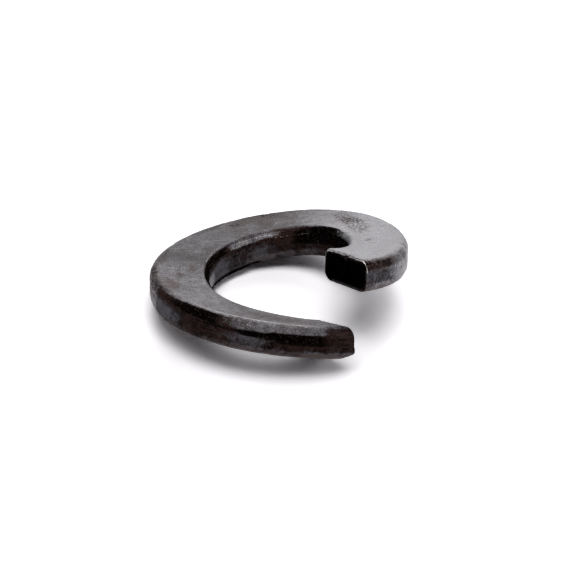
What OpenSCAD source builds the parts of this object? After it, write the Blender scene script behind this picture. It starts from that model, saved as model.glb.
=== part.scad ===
// Curved spring washer, split once, for a 6 mm screw.
// One piece of hardened spring steel: a rectangular wire with rounded edges is
// coiled to a single turn and cut off. The coil is left open, so one end stands
// high and the other low, the ring is bowed, and its faces are dished.
// The washer lies on the floor (z = 0) the way it comes to rest.

/* [Ring] */
// Diameter of the hole, wall to wall, across the middle third of the turn
bore_d = 6.15; // [5.6:0.05:7]
// Width of the wire section, measured outwards from the hole
section_w = 2.63; // [2.2:0.01:3.2]
// Thickness of the wire section
section_t = 1.45; // [1:0.01:1.7]
// How much larger the radius is in the thirds next to the cut ends, which spring open
open_r = 0.05; // [0.01:0.01:0.15]

/* [Edges] */
// Rounding of the outer edge of the upper face
round_outer_top = 0.4; // [0.1:0.02:0.5]
// Rounding of the outer edge of the lower face
round_outer_bottom = 0.42; // [0.1:0.02:0.5]
// Rounding of the hole's edge on the upper face
round_inner_top = 0.24; // [0.1:0.02:0.5]
// Rounding of the hole's edge on the lower face
round_inner_bottom = 0.4; // [0.1:0.02:0.5]
// Depth to which the shear rolls the upper edge of both cut ends over
roll_h = 0.1; // [0.02:0.01:0.2]
// Length of wire over which that edge rolls over
roll_l = 0.13; // [0.05:0.01:0.3]

/* [Coil] */
// Direction of the high cut end, seen from above
high_end_deg = -47.7; // [-60:0.1:-40]
// Open angle of the slit between the two cut ends, seen from above
slit_deg = 6.6; // [3:0.2:12]
// Height that the coil loses over one full turn
pitch_h = 3.14; // [2:0.02:3.6]
// How far the coil's mid height lies before the middle of the wire
mid_shift_deg = 9; // [0:1:20]

/* [Bow] */
// Height of the two-sided bow of the ring
bow_h = 0.12; // [0:0.01:0.3]
// Direction of one crest of the bow
bow_deg = 66; // [0:1:180]
// Height of the three-sided waviness left by coiling
wave_h = 0.045; // [0:0.005:0.1]
// Direction of one crest of the waviness
wave_deg = 41; // [0:1:120]

/* [Dish] */
// Slope of the faces across the wire, outer edge raised, averaged over the turn
dish_deg = 4.9; // [0:0.1:9]
// Growth of that slope over half a turn, towards the low end
dish_growth_deg = 4.8; // [0:0.1:6]
// One-sided change of that slope round the ring
dish_swing_deg = 2.5; // [0:0.1:4]
// Direction in which the one-sided change is greatest
dish_swing_dir = -33; // [-180:1:180]
// Two-sided change of that slope round the ring
dish_ripple_deg = 1.7; // [0:0.1:3]
// Direction in which the two-sided change is greatest
dish_ripple_dir = 60; // [1:1:180]

/* [Hidden] */
steel = [0.33, 0.31, 0.30];
section_count = 100;     // sections along the coil
over_w = 0.03;           // how far the wire runs into the hole before the hole is cut
bore_r = bore_d / 2;
outer_r = bore_r + section_w;
mean_r = bore_r + section_w / 2;
half_w = section_w / 2;
half_t = section_t / 2;
turn_deg = 360 - slit_deg;
low_end_deg = high_end_deg + turn_deg;
middle_deg = high_end_deg + turn_deg / 2 - mid_shift_deg;
roll_deg = roll_l / mean_r * 180 / PI;
function edge(r) = min(r, 0.45 * section_t, 0.4 * section_w);

// The ring is three arcs that run into each other smoothly. The middle third lies
// about the origin. Each outer third is open_r larger, and its centre is shifted
// by open_r away from the joint, so that the cut ends stand a little outside.
joints = [high_end_deg + turn_deg / 3, high_end_deg + 2 * turn_deg / 3];
function arc_growth(a) = a < joints[0] || a > joints[1] ? open_r : 0;
function arc_centre(a) = let (j = a < joints[0] ? joints[0] : joints[1])
    -arc_growth(a) * [cos(j), sin(j)];

// Height of the wire's middle line, and slope of its faces, in direction a
function lift(a) = -pitch_h * (a - middle_deg) / 360
    + bow_h * cos(2 * (a - bow_deg)) + wave_h * cos(3 * (a - wave_deg));
function slope(a) = tan(dish_deg + dish_growth_deg * (a - middle_deg) / 180
    + dish_swing_deg * cos(a - dish_swing_dir) + dish_ripple_deg * cos(2 * (a - dish_ripple_dir)));

// A point of the wire: u outwards from the middle line, v upwards along the hole's axis
function wire(a, u, v) = let (c = arc_centre(a), r = mean_r + arc_growth(a) + u)
    [c[0] + r * cos(a), c[1] + r * sin(a), lift(a) + u * slope(a) + v];

// One rounded corner of the section, from the face to the wall, or past it.
// su and sv give the corner's side, +1 or -1; over is the length past the wall.
round_steps = [0, 18, 36, 54, 70];
function corner(su, sv, r, over) = let (last = round_steps[4], out = r * (1 - sin(last)) + over) concat(
    [for (t = round_steps) [su * (half_w - r + r * sin(t)), sv * (half_t - r + r * cos(t))]],
    [[su * (half_w + over), sv * (half_t - r + r * cos(last) - out * tan(last))]]);
function turned(list) = [for (i = [len(list) - 1 : -1 : 0]) list[i]];
// The whole section; over is how far it runs into the hole
function section(over) = concat(
    corner(1, 1, edge(round_outer_top), 0),
    turned(corner(1, -1, edge(round_outer_bottom), 0)),
    corner(-1, -1, edge(round_inner_bottom), over),
    turned(corner(-1, 1, edge(round_inner_top), over)));

// Directions of the sections, with a short step at each end for the roll-over
turn = concat([high_end_deg],
    [for (i = [0 : section_count - 1])
        high_end_deg + roll_deg + (turn_deg - 2 * roll_deg) * i / (section_count - 1)],
    [low_end_deg]);
function rolled(v, i) = (i == 0 || i == len(turn) - 1) && v > 0 ? v - roll_h : v;
function coil(profile) = [for (i = [0 : len(turn) - 1]) for (p = profile) wire(turn[i], p[0], rolled(p[1], i))];

// The way the washer lies. It stands on its lowest point, tips towards its weight
// until a second point touches, and then over the line between two touching
// points, until its weight is over the three points that it stands on.
skin = coil(section(0));
weight = let (c = [for (i = [1 : section_count]) wire(turn[i], section_w * section_w / (12 * mean_r), 0)])
    [for (i = c) 1] * c / section_count;
function unit(v) = v / norm(v);
// Level direction at right angles to the line a-b, with u upright
function across(u, a, b) = unit(cross(u, b - a));
// The first point to touch when the washer, with u upright, tips over the line a-b towards side s
function touched(u, a, b, s) =
    let (d = s * across(u, a, b),
         angles = [for (p = skin) let (x = (p - a) * d) x > mean_r * 1e-5 ? atan2((p - a) * u, x) : 360])
    skin[search(min(angles), angles)[0]];
function upright(u, a, b, c) = let (n = cross(b - a, c - a)) unit(n * u > 0 ? n : -n);
function is_past(u, a, b, c) = ((weight - a) * across(u, a, b)) * ((c - a) * across(u, a, b)) < 0;
function tipped(u, a, b, left) =
    let (s = sign((weight - a) * across(u, a, b)), c = touched(u, a, b, s), n = upright(u, a, b, c))
    left == 0 ? n
    : is_past(n, a, c, b) ? tipped(n, a, c, left - 1)
    : is_past(n, b, c, a) ? tipped(n, b, c, left - 1) : n;
lowest = let (z = [for (p = skin) p[2]]) skin[search(min(z), z)[0]];
beside = lowest + unit([lowest[1] - weight[1], weight[0] - lowest[0], 0]);
second = touched([0, 0, 1], lowest, beside, sign((weight - lowest) * across([0, 0, 1], lowest, beside)));
up = tipped(upright([0, 0, 1], lowest, beside, second), lowest, second, 60);
tilt = acos(up[2]);
tilt_axis = norm([up[1], up[0]]) < 1e-6 ? [1, 0, 0] : unit([up[1], -up[0], 0]);

// Where the laid-down washer's box is, to stand it on the origin
function laid(p) = let (k = tilt_axis)
    p * cos(tilt) + cross(k, p) * sin(tilt) + k * (k * p) * (1 - cos(tilt));
lying = [for (p = skin) laid(p)];
low = [for (k = [0 : 2]) min([for (p = lying) p[k]])];
high = [for (k = [0 : 2]) max([for (p = lying) p[k]])];
place = [-(low[0] + high[0]) / 2, -(low[1] + high[1]) / 2, -low[2]];

// The wire swept round the coil, a little wider than the wall of the hole
module coiled_wire() {
    profile = section(over_w);
    m = len(profile);
    n = len(turn);
    polyhedron(
        points = coil(profile),
        faces = concat(
            [for (i = [0 : n - 2]) for (j = [0 : m - 1]) [i * m + j, i * m + (j + 1) % m, (i + 1) * m + j]],
            [for (i = [0 : n - 2]) for (j = [0 : m - 1]) [i * m + (j + 1) % m, (i + 1) * m + (j + 1) % m, (i + 1) * m + j]],
            [[for (j = [m - 1 : -1 : 0]) j]],
            [[for (j = [0 : m - 1]) (n - 1) * m + j]]),
        convexity = 6);
}

// All that lies inside the hole's wall, over one third of the turn
module hole_arc(from, to) {
    middle = (from + to) / 2;
    deep = 4 * pitch_h + 4 * section_t;
    translate(arc_centre(middle)) rotate(from)
    rotate_extrude(angle = to - from, $fn = 180)
    translate([0, -deep / 2]) square([bore_r + arc_growth(middle), deep]);
}

module spring_washer() {
    color(steel)
    translate(place) rotate(a = tilt, v = tilt_axis)
    difference() {
        coiled_wire();
        // hole for the screw
        hole_arc(high_end_deg - slit_deg / 3, joints[0]);
        hole_arc(joints[0], joints[1]);
        hole_arc(joints[1], low_end_deg + slit_deg / 3);
    }
}

spring_washer();
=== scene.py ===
"""Curved spring washer on a white floor: camera, light, the detailed washer and its steel.

The washer is one skin, built from the same driving sizes as the solid that it stands for and laid
down the same way. Its wear is moved into the mesh, and each finish of the steel lies where a mask
on the mesh's points says.
"""
import math
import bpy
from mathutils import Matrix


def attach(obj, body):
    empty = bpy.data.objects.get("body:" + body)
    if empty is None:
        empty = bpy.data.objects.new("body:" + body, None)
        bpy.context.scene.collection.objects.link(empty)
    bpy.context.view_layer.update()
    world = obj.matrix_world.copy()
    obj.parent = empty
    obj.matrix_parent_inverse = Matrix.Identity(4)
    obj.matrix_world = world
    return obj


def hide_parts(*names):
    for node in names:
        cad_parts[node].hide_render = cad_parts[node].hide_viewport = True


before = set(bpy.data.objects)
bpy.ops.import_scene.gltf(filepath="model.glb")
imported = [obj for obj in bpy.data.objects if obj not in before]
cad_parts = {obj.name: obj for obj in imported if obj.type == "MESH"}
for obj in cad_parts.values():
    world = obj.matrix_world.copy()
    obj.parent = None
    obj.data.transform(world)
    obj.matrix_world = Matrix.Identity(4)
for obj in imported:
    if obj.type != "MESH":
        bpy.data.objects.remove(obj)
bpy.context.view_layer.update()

from types import SimpleNamespace

import bpy
import numpy as np
from mathutils import Matrix, Vector, noise

MM = 0.001

# ---------------------------------------------------------------- camera
CAM_AZ, CAM_EL, CAM_ROLL = 1.0075, 34.1812, -1.3338   # degrees
CAM_DISTANCE = 79.7528 * MM
CAM_TARGET = Vector((0.5381, 0.0, 0.9623)) * MM
CAM_LENS, CAM_SENSOR = 110.60, 36                       # mm
CAM_NEAR, CAM_FAR = 0.002, 10                           # m


def make_camera():
    az, el, roll = (math.radians(v) for v in (CAM_AZ, CAM_EL, CAM_ROLL))
    forward = Vector((-math.sin(az) * math.cos(el), math.cos(az) * math.cos(el), -math.sin(el)))
    right = Vector((math.cos(az), math.sin(az), 0))
    up = right.cross(forward)
    image_x = right * math.cos(roll) - up * math.sin(roll)
    image_y = right * math.sin(roll) + up * math.cos(roll)
    place = CAM_TARGET - forward * CAM_DISTANCE
    camera = bpy.data.objects.new("camera", bpy.data.cameras.new("camera"))
    camera.matrix_world = Matrix([
        (image_x[i], image_y[i], -forward[i], place[i]) for i in range(3)] + [(0, 0, 0, 1)])
    camera.data.sensor_width = CAM_SENSOR
    camera.data.lens = CAM_LENS
    camera.data.clip_start, camera.data.clip_end = CAM_NEAR, CAM_FAR
    bpy.context.collection.objects.link(camera)
    bpy.context.scene.camera = camera


# ---------------------------------------------------------------- the washer's form (mm, degrees)
BORE_D, SECTION_W, SECTION_T, OPEN_R = 6.15, 2.63, 1.45, 0.05
# Roundings of the section, by side: outer or inner, top or bottom
ROUND = {(1, 1): 0.40, (1, -1): 0.42, (-1, -1): 0.40, (-1, 1): 0.24}
HIGH_END, SLIT, PITCH, MID_SHIFT = -47.7, 6.6, 3.14, 9
BOW, BOW_DIR, WAVE, WAVE_DIR = 0.12, 66, 0.045, 41
DISH, DISH_GROWTH = 4.9, 4.8
DISH_SWING, SWING_DIR, DISH_RIPPLE, RIPPLE_DIR = 2.5, -33, 1.7, 60
MEAN_R = BORE_D / 2 + SECTION_W / 2
HALF_W, HALF_T = SECTION_W / 2, SECTION_T / 2
TURN = 360 - SLIT
LOW_END = HIGH_END + TURN
MIDDLE = HIGH_END + TURN / 2 - MID_SHIFT
JOINTS = (HIGH_END + TURN / 3, HIGH_END + 2 * TURN / 3)
DEGREE = math.radians(1) * MEAN_R                       # length of wire in one degree
# The way the washer lies: which way is up for the coil, and the shift onto the origin
UP = Vector((0.009619, -0.234283, 0.972121))
LAID = np.array(Matrix.Rotation(math.acos(UP.z), 3, Vector((UP.y, -UP.x, 0)).normalized()))
PLACE = np.array((-0.01394219, 0.08166231, 1.83780078))


def cosd(a):
    return np.cos(np.radians(a))


def sind(a):
    return np.sin(np.radians(a))


def lift(a):
    """Height of the wire's middle line."""
    return (-PITCH * (a - MIDDLE) / 360 + BOW * cosd(2 * (a - BOW_DIR))
            + WAVE * cosd(3 * (a - WAVE_DIR)))


def slope(a):
    """Slope of the wire's faces, outwards."""
    return np.tan(np.radians(
        DISH + DISH_GROWTH * (a - MIDDLE) / 180
        + DISH_SWING * cosd(a - SWING_DIR) + DISH_RIPPLE * cosd(2 * (a - RIPPLE_DIR))))


def wire(a, u, v):
    """Points of the wire as the coil stands, before it is laid down: a is the direction round
    the ring, u lies outwards from the wire's middle line and v upwards."""
    near = np.where(a < (JOINTS[0] + JOINTS[1]) / 2, JOINTS[0], JOINTS[1])
    grow = np.where((a < JOINTS[0]) | (a > JOINTS[1]), OPEN_R, 0.0)
    r = MEAN_R + grow + u
    return np.stack([-grow * cosd(near) + r * cosd(a), -grow * sind(near) + r * sind(a),
                     lift(a) + u * slope(a) + v], axis=-1)


def end_distance(a, end):
    """Length of wire between angle a and a cut end."""
    return np.abs(a - end) * DEGREE


# ---------------------------------------------------------------- soft steps and noise
def smooth(low, high, x):
    """0 up to low, 1 from high on; low may be the larger one."""
    t = np.clip((x - low) / (high - low), 0, 1)
    return t * t * (3 - 2 * t)


def band(x, low, high, soft):
    """1 between low and high, fading to 0 over soft outside them."""
    return smooth(low - soft, low, x) * (1 - smooth(high, high + soft, x))


def hump(x, at, size):
    """1 at at, fading on both sides over about size."""
    return np.exp(-((x - at) / size) ** 2)


def nearness(distance, reach):
    """1 at distance 0, falling evenly to 0 at reach."""
    return 1 - np.clip(distance / reach, 0, 1)


def rough_noise(points, per_mm, seed, octaves=3):
    """Smooth noise of about -1 to 1 at each point."""
    shift = Vector((seed * 7.31, seed * 3.17, seed * 5.53))
    return np.array([noise.fractal(Vector(p) * per_mm + shift, 0.9, 2.1, octaves) for p in points])


# ---------------------------------------------------------------- the washer's skin
# Counts of mesh segments: in half a rounding, across a face and a wall, and along the wire
CORNER_HALF, FACE_FLAT, WALL_FLAT, STATIONS = 5, 30, 9, 640
FACE_SEGMENTS, WALL_SEGMENTS = 2 * CORNER_HALF + FACE_FLAT, 2 * CORNER_HALF + WALL_FLAT
# Closer stations next to a cut, where the shear has left its marks, in mm from it
NEAR_CUT = np.array([0, 0.015, 0.035, 0.06, 0.09, 0.125, 0.165, 0.205])
FIRST_EVEN = 0.245
# Heights of the wear (mm)
SWELLS, DENTS, FLAKES, NICKS, RIM_WEAR = 0.010, 0.0045, 0.007, 0.035, 0.02
# Share of its radius by which an upper edge is flattened, outside and in the hole
FLAT_OUTER, FLAT_INNER = 0.75, 0.9
# A fuller lower edge: outside towards the low end, and in the hole at the back (mm)
FULLER_OUTER, FULLER_INNER = 0.06, 0.07
# Share by which the hole's lower edge is squared on the left
SQUARE_INNER = 0.78
# The shear's roll-over of the upper edge at the high cut, and the ripples behind it (mm)
ROLL_HIGH, ROLL_HIGH_OUTER, RIPPLE, RIPPLE_LENGTH, RIPPLE_REACH = 0.10, 0.05, 0.012, 0.085, 0.16
# At the low cut: depth, reach along the wire, and how steeply it falls
ROLL_LOW = ((0.03, 0.30, 1.3), (0.04, 0.11, 2))
# Chip and notch in the high cut's upper edge: place and width across, depth, reach
CHIPS = ((-0.05, 0.11, 0.15, 0.20), (0.32, 0.07, 0.04, 0.10))
# The low cut: how far its foot leans out, and the corner knocked off it outside and below
LEAN, LEAN_REACH, KNOCK, KNOCK_REACH = 0.055, 0.3, 0.15, 0.36
# The torn cut faces: heights of tears, lumps and the smoother upper part (mm)
TEARS, LUMPS, UPPER_DROP = 0.020, 0.028, 0.03
CUT_SEEDS = {"high": 11, "low": 15}


def outline():
    """Section outline, clockwise from the middle of the inner top corner: rows of
    u, v and the outward direction there."""
    rows = []
    corners = [(-1, 1), (1, 1), (1, -1), (-1, -1)]
    outs = [(0, 1), (1, 0), (0, -1), (-1, 0)]
    for k in range(4):
        a, b = corners[k], corners[(k + 1) % 4]
        ra, rb = ROUND[a], ROUND[b]
        out = np.array(outs[k])
        before, after = np.array(outs[k - 1]), np.array(outs[(k + 1) % 4])
        ca = np.array([a[0] * (HALF_W - ra), a[1] * (HALF_T - ra)])
        cb = np.array([b[0] * (HALF_W - rb), b[1] * (HALF_T - rb)])
        flat = FACE_FLAT if k % 2 == 0 else WALL_FLAT
        for t in np.linspace(math.pi / 4, math.pi / 2, CORNER_HALF + 1):
            d = before * math.cos(t) + out * math.sin(t)
            rows.append((*(ca + ra * d), *d))
        for i in range(1, flat):
            rows.append((*(ca + ra * out + (cb + rb * out - ca - ra * out) * i / flat), *out))
        for t in np.linspace(0, math.pi / 4, CORNER_HALF + 1)[:-1]:
            d = after * math.sin(t) + out * math.cos(t)
            rows.append((*(cb + rb * d), *d))
    return np.array(rows)


def wear(a, v, nu, nv, base):
    """How far wear and dents move each point of the skin outwards, in mm."""
    inner, lower = nu < 0, nv < 0
    # long swells and hammer-like dents of the rolled and coiled wire
    swells = SWELLS * rough_noise(base, 0.55, 1, 2)
    dents = DENTS * rough_noise(base, 2.2, 2) * (1 + 0.8 * (np.abs(nu) > 0.5))
    # scale that has flaked off in places
    flakes = FLAKES * smooth(0.15, 0.45, rough_noise(base, 3.4, 3)) * (np.abs(nu) > 0.3)
    # nicks along the outer upper edge, deepest on the right and at the left
    top_edge = band(nu, 0.25, 0.97, 0.15) * (v > 0)
    where = 0.35 + 1.1 * hump(a, -20, 22) + 1.6 * hump(a, 200, 15)
    nicks = NICKS * top_edge * where * smooth(0.05, 0.6, rough_noise(base, 3.1, 5))
    # upper edges flattened rather than round: the outer one at the front, the hole's along most
    # of the turn
    off_middle = np.arctan2(np.abs(nu), np.abs(nv)) - math.pi / 4
    chord = np.where(v > 0.2, 1 - math.cos(math.pi / 4) / np.cos(off_middle), 0)
    flattened = chord * np.where(nu > 0, ROUND[1, 1] * FLAT_OUTER * band(a, 232, 300, 14),
                                 ROUND[-1, 1] * FLAT_INNER * band(a, 62, 296, 10))
    # lower edges fuller than their rounding, and the hole's nearly square on the left
    fuller = lower * 2 * np.abs(nu * nv) * np.where(
        inner, FULLER_INNER * band(a, 30, 96, 30), FULLER_OUTER * smooth(200, 280, a))
    to_square = 1 / np.maximum(np.abs(nu), np.abs(nv)) - 1
    squared = (inner & lower) * ROUND[-1, -1] * SQUARE_INNER * to_square * band(a, 124, 188, 12)
    return swells + dents - flakes - nicks - flattened + fuller + squared


def sheared(a, u, v):
    """Heights v with the marks that the shear left at both cuts."""
    high, low = end_distance(a, HIGH_END), end_distance(a, LOW_END)
    upper = smooth(0.0, 0.6, v)
    # the upper edge rolled over, with fine ripples behind it at the high cut
    depth, reach = ROLL_HIGH - ROLL_HIGH_OUTER * smooth(0.7, 1.1, u), 0.15 + 0.17 * smooth(-0.3, 0.5, u)
    v = v - upper * depth * nearness(high, reach) ** 2
    ripples = np.cos(high / RIPPLE_LENGTH * 2 * math.pi + 2.2 * u) * np.exp(-high / RIPPLE_REACH)
    v = v - upper * RIPPLE * ripples * smooth(0.02, 0.06, high)
    for depth, reach, steepness in ROLL_LOW:
        v = v - upper * depth * nearness(low, reach) ** steepness
    for at, width, depth, reach in CHIPS:
        v = v - upper * depth * hump(u, at, width) * nearness(high, reach)
    # the corner knocked off the low cut
    return v + smooth(0.1, 0.9, u) * smooth(0.1, -0.5, v) * KNOCK * nearness(low, KNOCK_REACH)


def shaped(a, u, v, nu, nv):
    """The skin's (u, v) with wear, dents and the marks of the shear."""
    base = wire(a, u, v)
    out = wear(a, v, nu, nv, base)
    u, v = u + out * nu, v + out * nv
    # the hole's upper edge is uneven where it has worn
    hole_edge = (nu < -0.3) & (v > 0.2)
    v = v - hole_edge * RIM_WEAR * smooth(-0.1, 0.5, rough_noise(base, 2.6, 6, 2)) * band(a, 80, 175, 12)
    return u, sheared(a, u, v)


def foot_lean(v):
    """How far the low cut leans out at its foot, in degrees."""
    return smooth(-0.1, -0.6, v) * LEAN / DEGREE


def cut_relief(u, v, seed):
    """How far the torn face of a cut stands out, in mm."""
    level = np.zeros_like(u)
    tears = rough_noise(np.stack([u * 2.2, v * 0.9, level], axis=-1), 2.6, seed, 4)
    lumps = rough_noise(np.stack([u, v, level], axis=-1), 1.5, seed + 1)
    return TEARS * tears + LUMPS * lumps - UPPER_DROP * smooth(0.1, 0.5, v)


def cut_grid(u, v, base, count):
    """A grid over the section whose outline is the points from base on. New points are numbered
    from count. Returns the points' numbers by column and row, and each new point's u, v and
    how far in it lies, from 0 at the outline to 1."""
    m, wide, tall = 2 * (FACE_SEGMENTS + WALL_SEGMENTS), FACE_SEGMENTS, WALL_SEGMENTS
    grid = {}
    for i in range(wide + 1):
        grid[i, 0] = base + i
        grid[i, tall] = base + (2 * wide + tall - i) % m
    for j in range(tall + 1):
        grid[wide, j] = base + wide + j
        grid[0, j] = base + (m - j) % m
    at = {key: np.array((u[q], v[q])) for key, q in grid.items()}
    new = []
    for i in range(1, wide):
        for j in range(1, tall):
            s, t = i / wide, j / tall
            p = ((1 - t) * at[i, 0] + t * at[i, tall] + (1 - s) * at[0, j] + s * at[wide, j]
                 - (1 - s) * (1 - t) * at[0, 0] - s * (1 - t) * at[wide, 0]
                 - (1 - s) * t * at[0, tall] - s * t * at[wide, tall])
            grid[i, j] = count + len(new)
            new.append((*p, min(1, min(i, wide - i, j, tall - j) / 3)))
    return grid, np.array(new)


def build_washer():
    rows = outline()
    m = len(rows)
    turn = np.concatenate([
        HIGH_END + NEAR_CUT / DEGREE,
        np.linspace(HIGH_END + FIRST_EVEN / DEGREE, LOW_END - FIRST_EVEN / DEGREE, STATIONS),
        (LOW_END - NEAR_CUT / DEGREE)[::-1]])
    n = len(turn)
    a = np.repeat(turn, m)
    u, v = shaped(a, *(np.tile(rows[:, k], n) for k in range(4)))
    a = a + foot_lean(v) * nearness(end_distance(a, LOW_END), LEAN_REACH)
    faces = [(i * m + j, i * m + (j + 1) % m, (i + 1) * m + (j + 1) % m, (i + 1) * m + j)
             for i in range(n - 1) for j in range(m)]
    place = [np.stack([a, u, v], axis=-1)]
    cut = [np.zeros(n * m)]
    count = n * m
    for name, end, outwards in (("high", 0, -1), ("low", n - 1, 1)):
        grid, new = cut_grid(u, v, end * m, count)
        count += len(new)
        new_u, new_v, inside = new.T
        stands_out = cut_relief(new_u, new_v, CUT_SEEDS[name]) * inside / DEGREE * outwards
        lean = foot_lean(new_v) * (name == "low")
        place.append(np.stack([turn[end] + lean + stands_out, new_u, new_v], axis=-1))
        cut.append(0.3 + 0.7 * inside)
        for i in range(FACE_SEGMENTS):
            for j in range(WALL_SEGMENTS):
                face = (grid[i, j], grid[i, j + 1], grid[i + 1, j + 1], grid[i + 1, j])
                faces.append(face[::-outwards])
    place, cut = np.concatenate(place), np.concatenate(cut)
    laid = wire(*place.T) @ LAID.T + PLACE
    mesh = bpy.data.meshes.new("washer_skin")
    mesh.from_pydata((laid * MM).tolist(), [], faces)
    mesh.validate()
    mesh.shade_smooth()
    piece = bpy.data.objects.new("washer_skin", mesh)
    bpy.context.collection.objects.link(piece)
    paint(mesh, Skin(place, cut))
    return piece


# ---------------------------------------------------------------- where each finish lies
# Soft round patches: angle, place across, reach in degrees, reach in mm, strength
FILM_SPOTS = ((213, -0.1, 12, 0.40, 1.25), (195, 0.0, 10, 0.6, 1.5),
              (258, -0.12, 12, 0.32, 0.95), (286, -0.2, 6, 0.4, 0.35))
SCRATCHES = ((302, -0.30, 6, 0.15, 1.3), (300, 0.40, 5, 0.12, 1.3), (296, -0.85, 6, 0.12, 1.3))
GREY_SPOTS = ((100, 1.02, 9, 0.16, 0.45), (130, 1.0, 14, 0.2, 0.30))
DARK_ENDS = ((303, -0.85, 5, 0.25, 0.8), (302, 0.85, 4, 0.16, 0.6))
BROWN_SPOTS = ((97, 0.6, 9, 0.35, 1.3), (113, 0.5, 4, 0.3, 1.2), (203, 0.5, 9, 0.35, 0.9),
               (191, 0.0, 4, 0.18, 0.8), (172, 0.9, 8, 0.25, 0.8), (150, -0.8, 10, 0.3, 0.6),
               (46, 0.1, 12, 0.55, 0.6), (280, 0.0, 20, 0.5, 0.7), (100, -0.3, 5, 0.3, 0.9),
               (128, 0.9, 4, 0.2, 0.9), (182, -0.6, 5, 0.3, 0.9))
PIT_SPOTS = ((0, -0.5, 3, 0.14, 1.2), (117, 0.42, 3, 0.14, 0.8), (97, 0.75, 5, 0.3, 0.8),
             (240, -0.9, 3, 0.12, 0.8))
# Lower limits of the light rim at the front, the painted shade on the front left's rounding and the
# black line, as (angles, heights)
LIGHT_RIM = ((240, 258, 270, 300), (0.26, 0.30, 0.37, 0.39))
SHADE_FOOT = ((204, 218, 228, 236, 246), (0.52, 0.46, 0.38, 0.34, 0.30))
BLACK_LINE = ((258, 270, 300), (0.24, 0.31, 0.33))
MASK_LIMIT = 1.5


class Skin:
    """Each point of the skin as the finishes see it: a along the wire in degrees, u and v across
    it in mm, and masks of 0 to 1 for the places on the section and round the ring."""

    def __init__(self, place, cut):
        self.a, self.u, self.v = a, u, v = place.T
        self.cut = cut
        self.near_high = end_distance(a, HIGH_END)
        # round the section
        self.top = smooth(0.58, 0.70, v)
        self.below = smooth(-0.52, -0.70, v) * (1 - smooth(-0.80, -0.95, u))
        self.outer, self.inner = smooth(0.9, 1.1, u), smooth(-1.08, -1.16, u)
        self.hole_rim = self.inner * band(v, 0.48, 0.72, 0.04)
        self.wall_out, self.wall_in = smooth(1.15, 1.28, u), smooth(-1.15, -1.28, u)
        self.foot_out = self.outer * smooth(-0.32, -0.5, v)
        self.foot_in = smooth(-0.90, -1.05, u) * smooth(-0.25, -0.42, v)
        # the right side, fading towards the back
        self.right = 1 - smooth(14, 78, a)
        # the hole's wall at its far left, where it shows light
        self.corner = self.wall_in * band(a, 168, 192, 14) * band(v, -0.5, 0.0, 0.14)
        # a brown shade on the outer rounding next to the high cut, and where it thins out
        self.shade = self.outer * band(v, 0.38 + 0.006 * (a + 48), 0.60, 0.24) * band(a, -48, -42, 22)
        self.shade_end = self.outer * band(v, 0.40, 0.60, 0.16) * band(a, -36, -18, 12)
        # painted shade along the outer rounding at the front left, which turns away from the light
        self.shade_front_left = self.outer * band(v, np.interp(a, *SHADE_FOOT), 0.68, 0.10)
        self.shade_front_left *= band(a, 215, 239, 12) * (0.42 + 0.58 * smooth(216, 232, a))

    def spots(self, across, table):
        """Sum of soft round patches."""
        return sum(strength * hump(self.a, at, length) * hump(across, middle, width)
                   for at, middle, length, width, strength in table)


def burnish_mask(s):
    """Bare of scale: a dull dark metal."""
    a, v, outer = s.a, s.v, s.outer
    front = smooth(240, 264, a) * (1 - smooth(284, 300, a))
    silhouette = 0.64 * smooth(-36, -26, a) + 0.50 * smooth(-26, -18, a)
    burnish = np.maximum.reduce([
        s.top * (1 - s.inner), s.below, 0.85 * s.corner,
        1.25 * outer * band(v, np.interp(a, *LIGHT_RIM), 0.66, 0.06) * front,
        0.60 * outer * band(v, -0.74, -0.30, 0.08) * s.right,
        outer * band(v, -0.55, 0.66, 0.08) * silhouette * s.right,
        0.56 * outer * band(v, -0.45, 0.66, 0.1) * band(a, 180, 198, 14),
        0.48 * outer * band(v, -0.72, -0.60, 0.04),
        0.66 * s.hole_rim * band(a, -40, 18, 34),
        0.80 * s.hole_rim * band(a, 102, 126, 20)])
    burnish *= 1 - 0.95 * s.shade_front_left
    burnish = np.maximum(burnish, 0.44 * outer * band(v, 0.26, 0.66, 0.10) * band(a, -48, -22, 8))
    burnish *= 1 - 0.32 * s.shade
    burnish *= 1 - (0.55 - 0.28 * s.top) * smooth(291, 299, a) * smooth(0.3, 0.6, v)
    # dark lines in the upper face, along the sheared edge and at the low end
    lines = (band(s.near_high, 0.085, 0.12, 0.03)
             + 0.8 * band(s.near_high, 0.21, 0.235, 0.04) * smooth(-0.2, 0.6, s.u))
    burnish *= 1 - 0.60 * (v > 0.3) * smooth(-0.9, -0.5, s.u) * lines
    for spot in DARK_ENDS:
        burnish *= 1 - s.top * s.spots(s.u, [spot])
    return burnish


def painted_sheen_mask(s):
    """Painted sheen: the bare metal is paler where light falls on it, on the upper face at the right and
    front, the hole's wall at the far left, the outer wall at the right, and a thin highlight line along
    the front's outer edge.
    """
    a, v, upper = s.a, s.v, smooth(0.4, 0.6, s.v)
    clean = (band(a, -48, 34, 44) + 0.42 * band(a, 222, 298, 14)) * upper
    clean += 0.9 * s.corner + 0.9 * s.outer * band(v, -0.6, 0.5, 0.1) * smooth(-28, -20, a) * s.right
    return clean + 0.8 * band(s.u, 0.90, 0.95, 0.03) * band(a, 235, 288, 14) * upper


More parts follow.
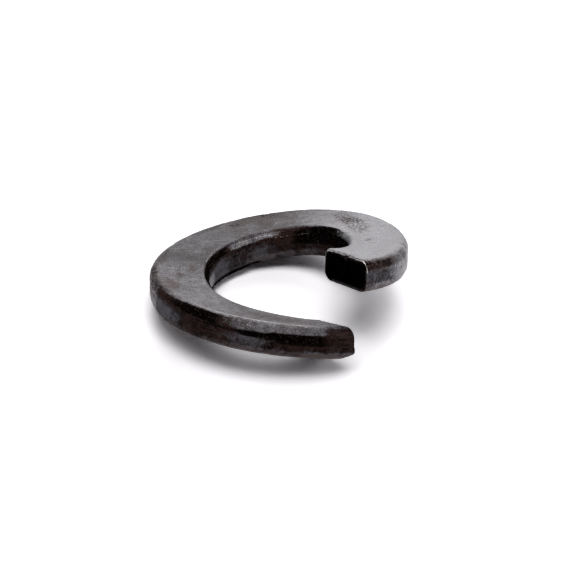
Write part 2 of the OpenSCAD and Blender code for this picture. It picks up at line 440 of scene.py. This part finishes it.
def oxide_and_sheen_mask(s):
    """A paler blue-grey oxide on the walls, and painted sheen where the hole's wall at the far left and
    the outer wall at the right catch the light.
    """
    a, v = s.a, s.v
    # oxide, and painted sheen where the outer wall at the right catches the light
    right = band(v, -0.40, 0.30, 0.12) * (0.9 + 0.9 * smooth(-34, -28, a)) * s.right
    # painted reflection: the hole's wall at the far left, paler towards its foot
    hole_left = band(a, 150, 185, 14) * (
        0.46 + 1.3 * smooth(0.15, -0.45, v) + 0.9 * band(a, 160, 185, 5) * smooth(0.3, 0.0, v))
    hole = (hole_left + 0.55 * band(a, 105, 150, 14) * smooth(0.42, 0.2, v)
            + 0.50 * band(a, 120, 150, 8) * smooth(-0.40, -0.56, v)
            + 0.30 * band(a, 60, 105, 14) * smooth(0.3, 0.0, v))
    foot = (0.38 + 0.7 * s.right + 0.3 * band(a, 120, 200, 12) + 0.20 * band(a, 240, 285, 8)
            + 0.50 * band(a, 285, 306, 5))
    return (0.85 * s.wall_out * (right + s.spots(v, FILM_SPOTS)) + 0.80 * s.wall_in * hole
            + 0.40 * s.foot_in * band(a, 30, 112, 12) + s.foot_out * foot)


def black_mask(s):
    """Black: painted shade on the outer rounding at the front left, on the hole's wall at the right and
    back and on its lower rounding, and a painted contact shadow line at its foot; also a black line
    below the front's light rim and dark stretches of the hole's upper rim.
    """
    a, v = s.a, s.v
    below_rim = (band(v, 0.06, np.interp(a, *BLACK_LINE), 0.05) * band(a, 258, 285, 6)
                 + 0.8 * band(v, 0.16, 0.22, 0.05) * band(a, 236, 258, 6)
                 + 0.7 * band(v, -0.12, 0.25, 0.1) * band(a, 274, 290, 8))
    # painted shadow: a black contact line at the foot of the hole's wall on the left
    hole_foot = 1.3 * smooth(-0.50, -0.56, v) * smooth(-1.10, -1.16, s.u) * band(a, 112, 200, 10)
    # painted shade: the hole's wall at the right and back, and its lower rounding away from the left
    return (s.shade_front_left + s.outer * below_rim + s.wall_in * band(a, -20, 66, 24) * smooth(-0.22, 0.06, v)
            + s.hole_rim * (0.7 * band(a, 44, 60, 20) + band(a, 146, 190, 12))
            + s.foot_in * (1 - band(a, 20, 190, 14)) + hole_foot)


def wear_and_glint_mask(s):
    """Bright specks and rims: worn specks, and painted highlights on the crest of the hole's upper edge
    and round the high cut.
    """
    a, u, v = s.a, s.u, s.v
    # painted highlight along the crest of the hole's upper edge
    crest = band(u, -1.080, -1.066, 0.010) * smooth(0.60, 0.64, v)
    worn = crest * (0.26 * band(a, 157, 168, 3) + 0.60 * band(a, 132, 180, 8)
                    + 0.50 * band(a, 20, 80, 20))
    worn += s.hole_rim * (0.62 * hump(a, 103, 8) + 0.66 * hump(a, 124, 10) + 0.45 * hump(a, 160, 9))
    worn += 0.75 * smooth(-1.2, -1.28, u) * band(v, 0.36, 0.42, 0.03) * band(a, 66, 94, 8)
    worn += s.outer * band(v, 0.45, 0.66, 0.06) * (0.66 * hump(a, 259, 3) + 0.561 * hump(a, 279, 5))
    # painted highlight: a bright rim round the high cut
    edge, beside = s.near_high < 0.005, s.near_high < 0.02
    worn += 1.1 * (beside & ~edge) * smooth(0.92, 1.05, u) * smooth(0.42, 0.55, v)
    worn += edge * np.maximum.reduce([
        1.5 * smooth(0.90, 1.05, u) * smooth(0.05, 0.25, v), 0.80 * smooth(1.1, 1.25, u) * (v <= 0.25),
        1.15 * smooth(-0.7, -0.9, u) * (v > 0.3), 0.62 * (v > 0.3), 0.72 * (v < -0.4)])
    return worn * (s.cut == 0)


def dim_mask(s):
    """Darkened metal: scratches at the low end and grey spots on the upper face, darker roundings at the
    front and left, the thinning shade by the high cut, and painted shade on the upper face at the back
    and left.
    """
    a, v = s.a, s.v
    rounding = 0.60 * band(a, 230, 300, 10) + 0.50 * smooth(0.40, 0.50, v) * band(a, 182, 206, 6)
    # painted shade: the upper face darker at the back and left, where it catches less light
    face = (0.22 * smooth(0.75, 1.0, s.u) * band(a, -48, 30, 12) + 0.52 * band(a, 84, 165, 16)
            + 0.32 * band(a, 170, 222, 16) + s.spots(s.u, SCRATCHES + GREY_SPOTS))
    return (s.outer * band(v, 0.28, 0.66, 0.06) * rounding + 0.40 * s.shade_end + s.top * face
            + 0.28 * s.hole_rim * band(a, 90, 150, 8))


def brown_mask(s, clean):
    """Stained patches."""
    a = s.a
    face = (0.4 * band(a, 84, 120, 12) + 0.25 * band(a, 236, 300, 12)
            + 0.4 * (1 - clean) * smooth(0.7, 1.1, s.u))
    return (s.spots(s.u, BROWN_SPOTS) + s.top * face + 0.9 * s.shade + 0.6 * s.shade_end
            + 0.6 * s.hole_rim * band(a, 76, 96, 8) + 0.5 * s.foot_in * band(a, 30, 112, 12)
            + s.outer * (1.1 * smooth(-0.40, -0.56, s.v) + 0.6 * band(a, 182, 200, 5)))


def pitted_mask(s):
    """Where the steel is pitted: a slanting field on the upper face at the right, and spots."""
    a, slant = s.a, s.u - 0.026 * (s.a - 36)
    rounding = s.outer * band(s.v, 0.30, 0.66, 0.06) * band(a, 182, 206, 8)
    return (0.22 + 1.3 * hump(a, 38, 17) * hump(slant, -0.16, 0.42) + s.spots(s.u, PIT_SPOTS)
            + 0.22 * s.outer * s.right + 0.5 * rounding)


def paint(mesh, skin):
    """Where each finish lies, as point attributes that the material reads."""
    clean = painted_sheen_mask(skin)
    masks = {"burnish": burnish_mask(skin), "clean": clean, "film": oxide_and_sheen_mask(skin),
             "black": black_mask(skin), "worn": wear_and_glint_mask(skin), "brown": brown_mask(skin, clean),
             "pitted": pitted_mask(skin), "dim": dim_mask(skin), "cut": skin.cut}
    for name, values in masks.items():
        values = np.clip(values, 0, MASK_LIMIT).astype(np.float32)
        mesh.attributes.new(name, "FLOAT", "POINT").data.foreach_set("value", values)
    along = np.stack([np.radians(skin.a) * MEAN_R, skin.u, skin.v], axis=-1).astype(np.float32)
    mesh.attributes.new("along", "FLOAT_VECTOR", "POINT").data.foreach_set("vector", along.ravel())


# ---------------------------------------------------------------- materials
# Colours of the steel, linear
SCALE_BLACK, SCALE_BROWN = (0.0070, 0.0040, 0.0038), (0.0270, 0.0138, 0.0120)
SCALE_GREY, SCALE_STREAK = (0.030, 0.020, 0.0185), (0.0008, 0.0006, 0.0008)
# Flecks in the scale, and the black that paints shade
SCALE_FLECK, SHADE_BLACK = (0.060, 0.050, 0.048), (0.0020, 0.0010, 0.0008)
# Oxide on the walls; its pale tone also paints sheen where they catch the light
OXIDE_DARK, OXIDE_AND_SHEEN_PALE = (0.022, 0.020, 0.025), (0.100, 0.097, 0.112)
OXIDE_SPECK, OXIDE_BROWN = (0.135, 0.128, 0.138), (0.110, 0.075, 0.066)
DULL_DARK, DULL_PALE = (0.024, 0.020, 0.025), (0.104, 0.102, 0.114)
# Painted sheen: the paler bare steel where light falls on it
SHEEN_DARK, SHEEN_LIGHT = (0.165, 0.159, 0.168), (0.240, 0.238, 0.252)
LINE_DARK, LINE_LIGHT, STREAK_DARK = (0.018, 0.014, 0.016), (0.200, 0.196, 0.208), (0.030, 0.022, 0.022)
SPECK_DARK, GRAIN_DARK, GLINT = (0.024, 0.020, 0.023), (0.036, 0.029, 0.030), (0.40, 0.395, 0.405)
STAIN, DIM = (0.046, 0.026, 0.022), (0.016, 0.013, 0.014)
# Chips of bare steel; the brightest tone also paints highlights round the high cut and on the hole's
# crest
PIT, CHIP_DULL, CHIP_AND_GLINT_BRIGHT = (0.012, 0.007, 0.006), (0.20, 0.175, 0.145), (0.84, 0.80, 0.74)
# The cut faces: near black for their dark torn steel, and partly painted shade, as they lie in deep
# shade
CUT_BLACK, CUT_GREY = (0.0003, 0.0003, 0.0004), (0.0022, 0.0022, 0.0026)
# Metallic: on scale, on bare steel and on bare steel under a stain
METAL_SCALE, METAL_BARE, METAL_STAIN = 0.18, 0.95, 0.75
# Roughness of each finish
ROUGH_SCALE, ROUGH_FILM, ROUGH_BARE, ROUGH_CHIP, ROUGH_CUT = 0.60, 0.48, 0.38, 0.34, 0.92
ROUGH_VARIES = 0.14                                      # from speckle to speckle
BUMP_STRENGTH, BUMP_DEPTH = 0.7, 0.018 * MM


class Graph:
    """Short ways to write a node tree."""

    def __init__(self, owner):
        owner.use_nodes = True
        self.nodes, self.links = owner.node_tree.nodes, owner.node_tree.links

    def set(self, socket, value):
        if isinstance(value, bpy.types.NodeSocket):
            self.links.new(value, socket)
        else:
            socket.default_value = value

    def attribute(self, name, output="Fac"):
        node = self.nodes.new("ShaderNodeAttribute")
        node.attribute_name = name
        return node.outputs[output]

    def noise(self, vector, scale, detail, roughness, distortion=0.0):
        node = self.nodes.new("ShaderNodeTexNoise")
        for key, value in (("Vector", vector), ("Scale", scale), ("Detail", detail),
                           ("Roughness", roughness), ("Distortion", distortion)):
            self.set(node.inputs[key], value)
        return node.outputs["Fac"]

    def cells(self, vector, scale):
        node = self.nodes.new("ShaderNodeTexVoronoi")
        self.set(node.inputs["Vector"], vector)
        self.set(node.inputs["Scale"], scale)
        return node.outputs["Distance"]

    def stretch(self, vector, factors, shift=(0, 0, 0)):
        node = self.nodes.new("ShaderNodeMapping")
        self.set(node.inputs["Vector"], vector)
        node.inputs["Scale"].default_value = factors
        node.inputs["Location"].default_value = shift
        return node.outputs["Vector"]

    def math(self, operation, a, b, clamp=False):
        node = self.nodes.new("ShaderNodeMath")
        node.operation = operation
        node.use_clamp = clamp
        self.set(node.inputs[0], a)
        self.set(node.inputs[1], b)
        return node.outputs[0]

    def plus(self, a, b):
        return self.math("ADD", a, b)

    def minus(self, a, b):
        return self.math("SUBTRACT", a, b)

    def times(self, a, b):
        return self.math("MULTIPLY", a, b)

    def most(self, a, b):
        return self.math("MAXIMUM", a, b)

    def about(self, value, gain):
        """A noise or mask of 0 to 1 moved to lie about 0, times gain."""
        return self.times(self.minus(value, 0.5), gain)

    def ramp(self, value, low, high):
        """A soft step from 0 at low to 1 at high; low may be the larger one."""
        node = self.nodes.new("ShaderNodeMapRange")
        node.interpolation_type = "SMOOTHSTEP"
        for key, item in (("Value", value), ("From Min", low), ("From Max", high)):
            self.set(node.inputs[key], item)
        return node.outputs["Result"]

    def mix(self, fac, a, b):
        """Colour a, and b where fac is 1."""
        node = self.nodes.new("ShaderNodeMix")
        node.data_type = "RGBA"
        self.set(node.inputs[0], fac)
        self.set(node.inputs[6], a if isinstance(a, bpy.types.NodeSocket) else (*a, 1))
        self.set(node.inputs[7], b if isinstance(b, bpy.types.NodeSocket) else (*b, 1))
        return node.outputs[2]

    def blend(self, fac, a, b):
        """Number a, and b where fac is 1."""
        node = self.nodes.new("ShaderNodeMix")
        node.data_type = "FLOAT"
        self.set(node.inputs[0], fac)
        self.set(node.inputs[2], a)
        self.set(node.inputs[3], b)
        return node.outputs[0]

    def seen(self):
        """1 for rays that show the surface to the camera, straight, mirrored or through glass."""
        path = self.nodes.new("ShaderNodeLightPath").outputs
        mirrored = self.most(path["Is Camera Ray"], path["Is Glossy Ray"])
        return self.most(mirrored, path["Is Transmission Ray"])


def steel_patterns(g):
    """Noises of the steel's surface, and the masks they make with those of the mesh."""
    p = g.stretch(g.nodes.new("ShaderNodeTexCoord").outputs["Object"], (1 / MM,) * 3)   # in mm
    s = SimpleNamespace(**{name: g.attribute(name) for name in (
        "burnish", "clean", "film", "black", "worn", "brown", "pitted", "dim", "cut")})
    s.clouds = g.noise(p, 0.9, 5, 0.6, 0.6)
    s.mottle = g.noise(g.stretch(p, (0.75, 1.1, 1.1), (3, 1, 7)), 2.6, 9, 0.74, 0.4)
    s.patches = g.noise(g.stretch(p, (1, 1, 1), (5, 2, 9)), 1.8, 8, 0.72, 0.8)
    s.lines = g.noise(g.stretch(p, (0.30, 1.4, 1.4), (2, 6, 1)), 5.0, 6, 0.72, 0.4)
    # streaks run along the wire
    s.streaks = g.noise(g.stretch(g.attribute("along", "Vector"), (0.14, 1.6, 1.6)), 7.0, 6, 0.7, 0.25)
    s.speckle = g.ramp(g.noise(p, 9.0, 5, 0.8, 0.1), 0.38, 0.62)
    s.fine = g.ramp(g.noise(p, 19.0, 3, 0.7), 0.36, 0.64)
    s.grit = g.noise(p, 24.0, 3, 0.65)
    s.grain = g.ramp(g.noise(p, 11.0, 5, 0.78), 0.52, 0.36)
    s.ragged = g.plus(g.about(s.mottle, 1.0), g.about(s.speckle, 0.26))
    s.bare = g.ramp(g.plus(s.burnish, s.ragged), 0.26, 0.60)
    rust = g.plus(g.times(s.patches, 0.80), g.times(s.speckle, 0.12))
    s.stain = g.ramp(g.plus(g.times(s.brown, 0.30), rust), 0.52, 0.70)
    s.filmed = g.ramp(g.plus(s.film, s.ragged), 0.25, 0.95)
    s.chips = g.ramp(g.plus(s.worn, g.about(s.fine, 0.55)), 0.76, 0.92)
    dots = g.ramp(g.plus(g.cells(g.stretch(p, (0.7, 1, 1)), 11.0), g.about(s.grit, 0.9)), 0.46, 0.34)
    s.pits = g.times(dots, g.ramp(g.plus(g.times(s.pitted, 0.62), g.times(s.patches, 0.8)), 0.62, 0.86))
    # no lines and streaks show under the painted sheen
    s.marks = g.math("SUBTRACT", 1.0, g.times(s.clean, 0.97), clamp=True)
    return s


def scale_colour(g, s):
    """Black-brown scale, covered with blue-grey oxide in places, paler where that paints sheen, and
    painted black where it lies in shade.
    """
    oxide = g.mix(g.ramp(s.mottle, 0.36, 0.62), OXIDE_DARK, OXIDE_AND_SHEEN_PALE)
    oxide = g.mix(g.times(s.speckle, 0.55), oxide, OXIDE_SPECK)
    oxide = g.mix(g.times(s.brown, 0.6), oxide, OXIDE_BROWN)
    scale = g.mix(g.ramp(s.clouds, 0.38, 0.60), SCALE_BLACK, SCALE_BROWN)
    scale = g.mix(g.ramp(s.mottle, 0.46, 0.62), scale, SCALE_GREY)
    scale = g.mix(g.times(g.ramp(s.streaks, 0.47, 0.38), 0.85), scale, SCALE_STREAK)
    scale = g.mix(s.filmed, scale, oxide)
    scale = g.mix(g.ramp(g.plus(s.black, g.times(s.ragged, 0.6)), 0.25, 0.75), scale, SHADE_BLACK)
    return g.mix(g.times(g.ramp(s.speckle, 0.84, 1.0), 0.5), scale, SCALE_FLECK)


def metal_colour(g, s):
    """Bare steel: dull, or paler where painted sheen lies, with drawn lines, grain and brown stains."""
    dull = g.mix(g.ramp(s.mottle, 0.40, 0.60), DULL_DARK, DULL_PALE)
    pale = g.mix(g.ramp(s.mottle, 0.36, 0.62), SHEEN_DARK, SHEEN_LIGHT)
    steel = g.mix(s.clean, dull, pale)
    steel = g.mix(g.times(g.times(g.ramp(s.lines, 0.49, 0.36), 0.82), s.marks), steel, LINE_DARK)
    steel = g.mix(g.times(g.times(g.ramp(s.lines, 0.53, 0.64), 0.36), s.marks), steel, LINE_LIGHT)
    steel = g.mix(g.times(g.minus(1.0, s.speckle), 0.42), steel, SPECK_DARK)
    steel = g.mix(g.times(s.grain, 0.60), steel, GRAIN_DARK)
    steel = g.mix(g.times(g.ramp(s.fine, 0.5, 1.0), 0.40), steel, GLINT)
    steel = g.mix(g.times(g.times(g.ramp(s.streaks, 0.47, 0.38), 0.45), s.marks), steel, STREAK_DARK)
    steel = g.mix(g.times(s.stain, 0.74), steel, STAIN)
    return g.mix(g.ramp(g.plus(s.dim, g.about(s.mottle, -0.7)), 0.0, 1.0), steel, DIM)


def steel_relief(g, s):
    """Height of the fine relief, in shares of the bump's depth."""
    height = g.plus(s.mottle, g.plus(g.times(s.speckle, 0.35), g.times(s.grit, 0.35)))
    height = g.plus(height, g.times(g.times(s.streaks, 0.30), s.marks))
    return g.minus(height, g.plus(g.times(s.pits, 0.9), g.times(s.bare, 0.25)))


def steel_material():
    mat = bpy.data.materials.new("blackened_steel")
    g = Graph(mat)
    s = steel_patterns(g)
    shader = g.nodes["Principled BSDF"]
    colour = g.mix(s.bare, scale_colour(g, s), metal_colour(g, s))
    colour = g.mix(g.times(s.pits, 0.78), colour, PIT)
    colour = g.mix(s.chips, colour, g.mix(g.ramp(s.worn, 0.6, 1.1), CHIP_DULL, CHIP_AND_GLINT_BRIGHT))
    colour = g.mix(s.cut, colour, g.mix(g.ramp(s.mottle, 0.45, 0.7), CUT_BLACK, CUT_GREY))
    g.set(shader.inputs["Base Color"], colour)
    metal = g.most(g.blend(s.bare, METAL_SCALE, g.blend(s.stain, METAL_BARE, METAL_STAIN)), s.chips)
    hidden = g.most(s.cut, g.times(g.most(s.pits, s.black), 0.85))
    g.set(shader.inputs["Metallic"], g.times(metal, g.minus(1.0, hidden)))
    rough = g.blend(s.bare, g.blend(s.filmed, ROUGH_SCALE, ROUGH_FILM), ROUGH_BARE)
    rough = g.plus(rough, g.about(s.speckle, ROUGH_VARIES))
    rough = g.blend(s.cut, g.blend(s.chips, rough, ROUGH_CHIP), ROUGH_CUT)
    g.set(shader.inputs["Roughness"], rough)
    shader.inputs["Specular IOR Level"].default_value = 0.0
    bump = g.nodes.new("ShaderNodeBump")
    bump.inputs["Strength"].default_value = BUMP_STRENGTH
    bump.inputs["Distance"].default_value = BUMP_DEPTH
    g.set(bump.inputs["Height"], steel_relief(g, s))
    g.set(shader.inputs["Normal"], bump.outputs["Normal"])
    return mat


# ---------------------------------------------------------------- floor and light
FLOOR_SIZE = 2.0                                         # m, from the middle to a side
# The floor as it lights the washer, and as it is seen, where it turns to white
FLOOR_COLOUR, FLOOR_SEEN = (0.62, 0.62, 0.63), (1.425, 1.40, 1.44)
WORLD_LIGHT, WORLD_SEEN = 0.01, 1.0
# Soft lights: where each stands, counted from behind (+Y) towards +X, how high, how wide
# it looks, all in degrees, and its share of the light on the floor
LAMPS = (("overhead", 179, 78, 36, 0.405), ("front_left", 210, 62, 22, 0.077),
         ("front_right", 150, 62, 22, 0.107), ("right", 105, 28, 24, 0.109),
         ("behind", 5, 38, 47, 0.255), ("left", -90, 35, 40, 0.037))


def floor_material():
    mat = bpy.data.materials.new("white_floor")
    g = Graph(mat)
    g.nodes.clear()
    out = g.nodes.new("ShaderNodeOutputMaterial")
    diffuse = g.nodes.new("ShaderNodeBsdfDiffuse")
    g.set(diffuse.inputs["Color"], g.mix(g.seen(), FLOOR_COLOUR, FLOOR_SEEN))
    g.links.new(diffuse.outputs[0], out.inputs["Surface"])
    return mat


def make_floor():
    s = FLOOR_SIZE
    mesh = bpy.data.meshes.new("floor")
    mesh.from_pydata([(-s, -s, 0), (s, -s, 0), (s, s, 0), (-s, s, 0)], [], [(0, 1, 2, 3)])
    floor = bpy.data.objects.new("floor", mesh)
    floor.data.materials.append(floor_material())
    bpy.context.collection.objects.link(floor)


def make_light():
    world = bpy.data.worlds.new("studio")
    bpy.context.scene.world = world
    g = Graph(world)
    sky = g.nodes["Background"]
    sky.inputs["Color"].default_value = (1, 1, 1, 1)
    g.set(sky.inputs["Strength"], g.blend(g.seen(), WORLD_LIGHT, WORLD_SEEN))
    for name, azimuth, elevation, spread, share in LAMPS:
        az, el = math.radians(azimuth), math.radians(elevation)
        lamp = bpy.data.lights.new(name, "SUN")
        lamp.energy = share * math.pi / math.sin(el)
        lamp.angle = math.radians(spread)
        obj = bpy.data.objects.new(name, lamp)
        towards = Vector((math.sin(az) * math.cos(el), math.cos(az) * math.cos(el), math.sin(el)))
        obj.rotation_mode = "QUATERNION"
        obj.rotation_quaternion = towards.to_track_quat("Z", "Y")
        bpy.context.collection.objects.link(obj)


# ---------------------------------------------------------------- the scene
bpy.context.scene.view_settings.view_transform = "Standard"
make_camera()
washer = build_washer()
washer.data.materials.append(steel_material())
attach(washer, "root")
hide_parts("spring_washer")
make_floor()
make_light()
